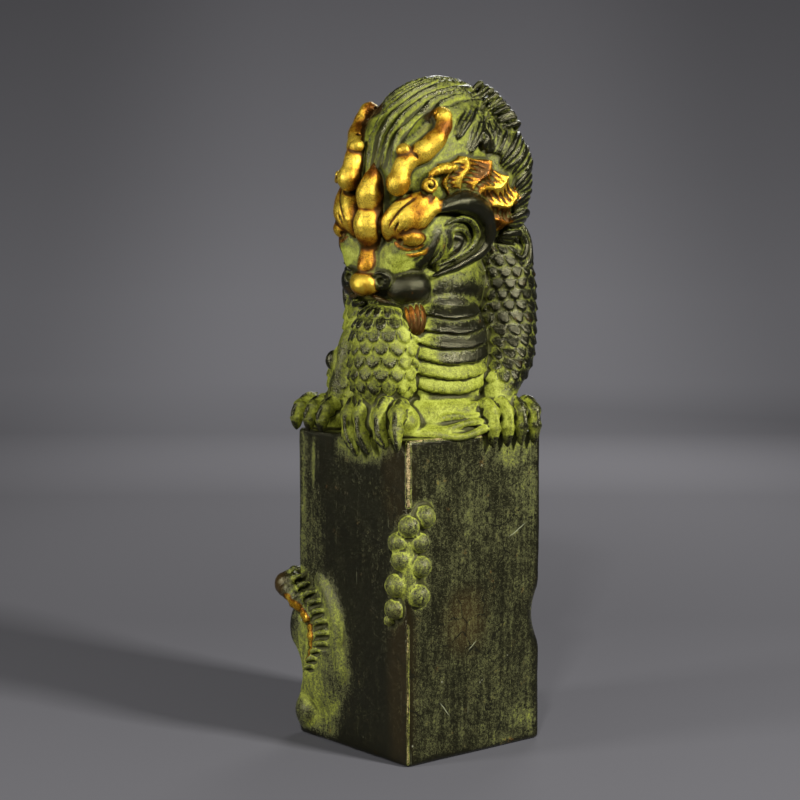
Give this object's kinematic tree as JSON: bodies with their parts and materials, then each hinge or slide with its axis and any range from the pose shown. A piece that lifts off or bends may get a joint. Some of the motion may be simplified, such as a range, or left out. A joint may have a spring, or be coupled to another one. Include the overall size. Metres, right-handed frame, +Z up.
{
  "type": "qilin seal figure",
  "caption": "Cast copper qilin seated on a tall square seal block, head turned over its right shoulder, dark bronze under yellow-green patina with gold rubbed on the raised face.",
  "frame": {"origin": "middle of the seal block's underside, on the surface it stands on", "axes": "+Z up the block, -Y the way the beast's chest faces, -X the way its turned head looks"},
  "size_m": [0.05, 0.0458, 0.145],
  "materials": {
    "patinated_copper": "patinated, near-black bronze with powdery yellow-green in the hollows and gold rubbed on the raised face"
  },
  "bodies": {
    "root": {"qilin_seal": "patinated_copper"}
  },
  "joints": []
}
